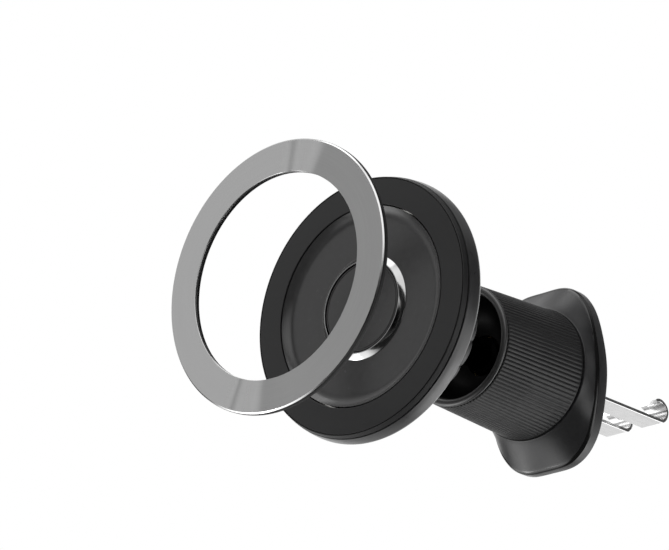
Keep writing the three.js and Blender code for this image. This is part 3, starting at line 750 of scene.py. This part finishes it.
pad_lo, pad_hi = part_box("vent_pad")
p0, p1 = pad_lo.y * 1000 + REACH, pad_hi.y * 1000 + REACH
pad = prism("vent_pad_ribbed", -1.7, p0, p1, 0.25)
grooves = []
for k in range(-8, 9):
    z = k * 2.1
    grooves.append(box_object(f"cut_groove_{k + 8}", (-20, p1 - 0.45, z - 0.28), (20, p1 + 1, z + 0.28)))
boolean(pad, grooves)
boolean(pad, slots("cut_pad"))
stand_for(pad, "vent_pad")

clip = lathe("retaining_clip_split", rounded([(9.9, 47.8, .1), (11.4, 47.8, .1), (11.4, 48.8, .1), (9.9, 48.8, .1)], n=3), seg=144)
boolean(clip, [box_object("cut_clip", (-2.2, 47, 8), (2.2, 50, 13))])
stand_for(clip, "retaining_clip")
stand_for(lathe("thrust_washer_flat", rounded([(11.5, 55.75, .08), (13.1, 55.75, .08), (13.1, 56.3, .08), (11.5, 56.3, .08)], n=3), seg=144), "thrust_washer")

# -------------------------------------------------------------------------------------------- camera, light and surroundings
AZ, EL, F_PX, DIST, TX, TY = math.radians(40.98), math.radians(-20.93), 3400.0, 0.6812, 0.00494, -0.00609
R = Vector((math.cos(AZ), math.sin(AZ), 0))
BACK = Vector((math.sin(AZ) * math.cos(EL), -math.cos(AZ) * math.cos(EL), math.sin(EL)))
U = BACK.cross(R)
FACE = Vector((0, y_of(0), 0))
cam_data = bpy.data.cameras.new("camera")
cam_data.lens = F_PX / 669.0 * 36.0
cam_data.sensor_width = 36.0
cam_data.sensor_fit = "HORIZONTAL"
cam_data.clip_start, cam_data.clip_end = 0.01, 50.0
cam = bpy.data.objects.new("camera", cam_data)
bpy.context.scene.collection.objects.link(cam)
place = Matrix((R, U, BACK)).transposed().to_4x4()
place.translation = FACE - R * TX - U * TY + BACK * DIST
cam.matrix_world = place
bpy.context.scene.camera = cam

floor = mesh_object("floor", [(-6, -6, -0.9), (6, -6, -0.9), (6, 6, -0.9), (-6, 6, -0.9)], [(0, 1, 2, 3)], weighted=False)
fm = Nodes("floor_pale")
fm.link(fm.ramp(fm.noise(fm.pos, 6.0, 2.0), [(0.3, (0.80, 0.80, 0.80)), (0.7, (0.84, 0.84, 0.84))]), fm.b.inputs["Base Color"])
fm.set(fm.b, Roughness=0.9)
floor.data.materials.append(fm.m)
floor.visible_glossy = False


def area(name, where, at, size, power, color=(1, 1, 1), size_y=None):
    d = bpy.data.lights.new(name, "AREA")
    d.energy, d.color, d.size = power, color, size
    if size_y:
        d.shape, d.size_y = "RECTANGLE", size_y
    o = bpy.data.objects.new(name, d)
    o.location = where
    o.rotation_euler = (Vector(at) - Vector(where)).to_track_quat("-Z", "Y").to_euler()
    bpy.context.scene.collection.objects.link(o)
    return o


MID = (0, -0.03, 0)
area("top_soft", (-0.15, -0.35, 1.0), MID, 0.5, 1.6)
area("low_left", (-0.75, -0.55, -0.55), MID, 0.25, 1.2)

# The studio: a pale backdrop for the camera, and for everything else a ring of soft panels of differing brightness.
PANELS = [  # direction, half width in degrees, brightness added
    ((-0.6125, -0.7052, 0.3572), 38, 0.66),     # what the flat faces mirror
    ((-0.6125, 0.7052, -0.3572), 34, 0.78),     # what the undersides of the hooks mirror
    ((-0.6125, 0.7052, 0.3572), 30, 0.85),      # behind the object: bright rims
    ((-0.03, 0.96, 0.03), 23, 2.0),             # behind, to the right: the head's side wall
    ((0.20, 0.60, 0.77), 15, 0.3),              # the upper side wall
    ((0.26, 0.68, -0.69), 17, 3.0),             # the lower side wall and the grip's underside
    ((0.62, 0.66, -0.42), 18, 1.9),             # the side wall and grip, lower right
    ((-0.10, -0.25, 0.96), 26, 0.5),            # overhead: the flange's upper face
    ((-0.61, 0.33, 0.72), 24, 0.8),             # the flange's upper left
    ((0.36, -0.70, 0.62), 24, 2.0),             # the ring's chamfer
    ((-0.70, -0.36, -0.60), 24, 2.2),           # the flange's lower face
    ((-0.88, -0.20, -0.43), 14, 1.0),           # the flange's lower left
    ((-0.42, -0.72, -0.55), 11, 0.7),           # the lower part of the bright ring
    ((0.97, 0.08, -0.24), 15, 2.3),             # the flange's right side
    ((0.45, 0.15, 0.88), 15, 0.7),              # the flange's chamfer, upper right
    ((0.31, -0.93, -0.16), 14, -0.080),         # a black card, seen in the bright ring
]
world = bpy.data.worlds.new("studio")
bpy.context.scene.world = world
world.use_nodes = True
wt = world.node_tree
wt.nodes.clear()


def wn(kind, **props):
    n = wt.nodes.new(kind)
    for k, v in props.items():
        setattr(n, k, v)
    return n


w_out, w_mix = wn("ShaderNodeOutputWorld"), wn("ShaderNodeMixShader")
w_cam, w_env = wn("ShaderNodeBackground"), wn("ShaderNodeBackground")
w_cam.inputs[0].default_value = (1, 1, 1, 1)
w_path, w_tc = wn("ShaderNodeLightPath"), wn("ShaderNodeTexCoord")
total = None
for d, half, gain in PANELS:
    dot = wn("ShaderNodeVectorMath", operation="DOT_PRODUCT")
    dot.inputs[1].default_value = tuple(Vector(d).normalized())
    wt.links.new(w_tc.outputs["Generated"], dot.inputs[0])
    mr = wn("ShaderNodeMapRange", interpolation_type="SMOOTHSTEP")
    mr.inputs["From Min"].default_value = math.cos(math.radians(half * 1.5))
    mr.inputs["From Max"].default_value = math.cos(math.radians(half * 0.5))
    mr.inputs["To Max"].default_value = gain
    wt.links.new(dot.outputs["Value"], mr.inputs["Value"])
    if total is None:
        add = wn("ShaderNodeMath", operation="ADD")
        add.inputs[1].default_value = 0.085
        wt.links.new(mr.outputs["Result"], add.inputs[0])
    else:
        add = wn("ShaderNodeMath", operation="ADD")
        wt.links.new(total, add.inputs[0])
        wt.links.new(mr.outputs["Result"], add.inputs[1])
    total = add.outputs[0]
wt.links.new(total, w_env.inputs[1])
wt.links.new(w_path.outputs["Is Camera Ray"], w_mix.inputs[0])
wt.links.new(w_env.outputs[0], w_mix.inputs[1])
wt.links.new(w_cam.outputs[0], w_mix.inputs[2])
wt.links.new(w_mix.outputs[0], w_out.inputs[0])
bpy.context.scene.view_settings.view_transform = "Standard"
bpy.context.scene.view_settings.look = "None"
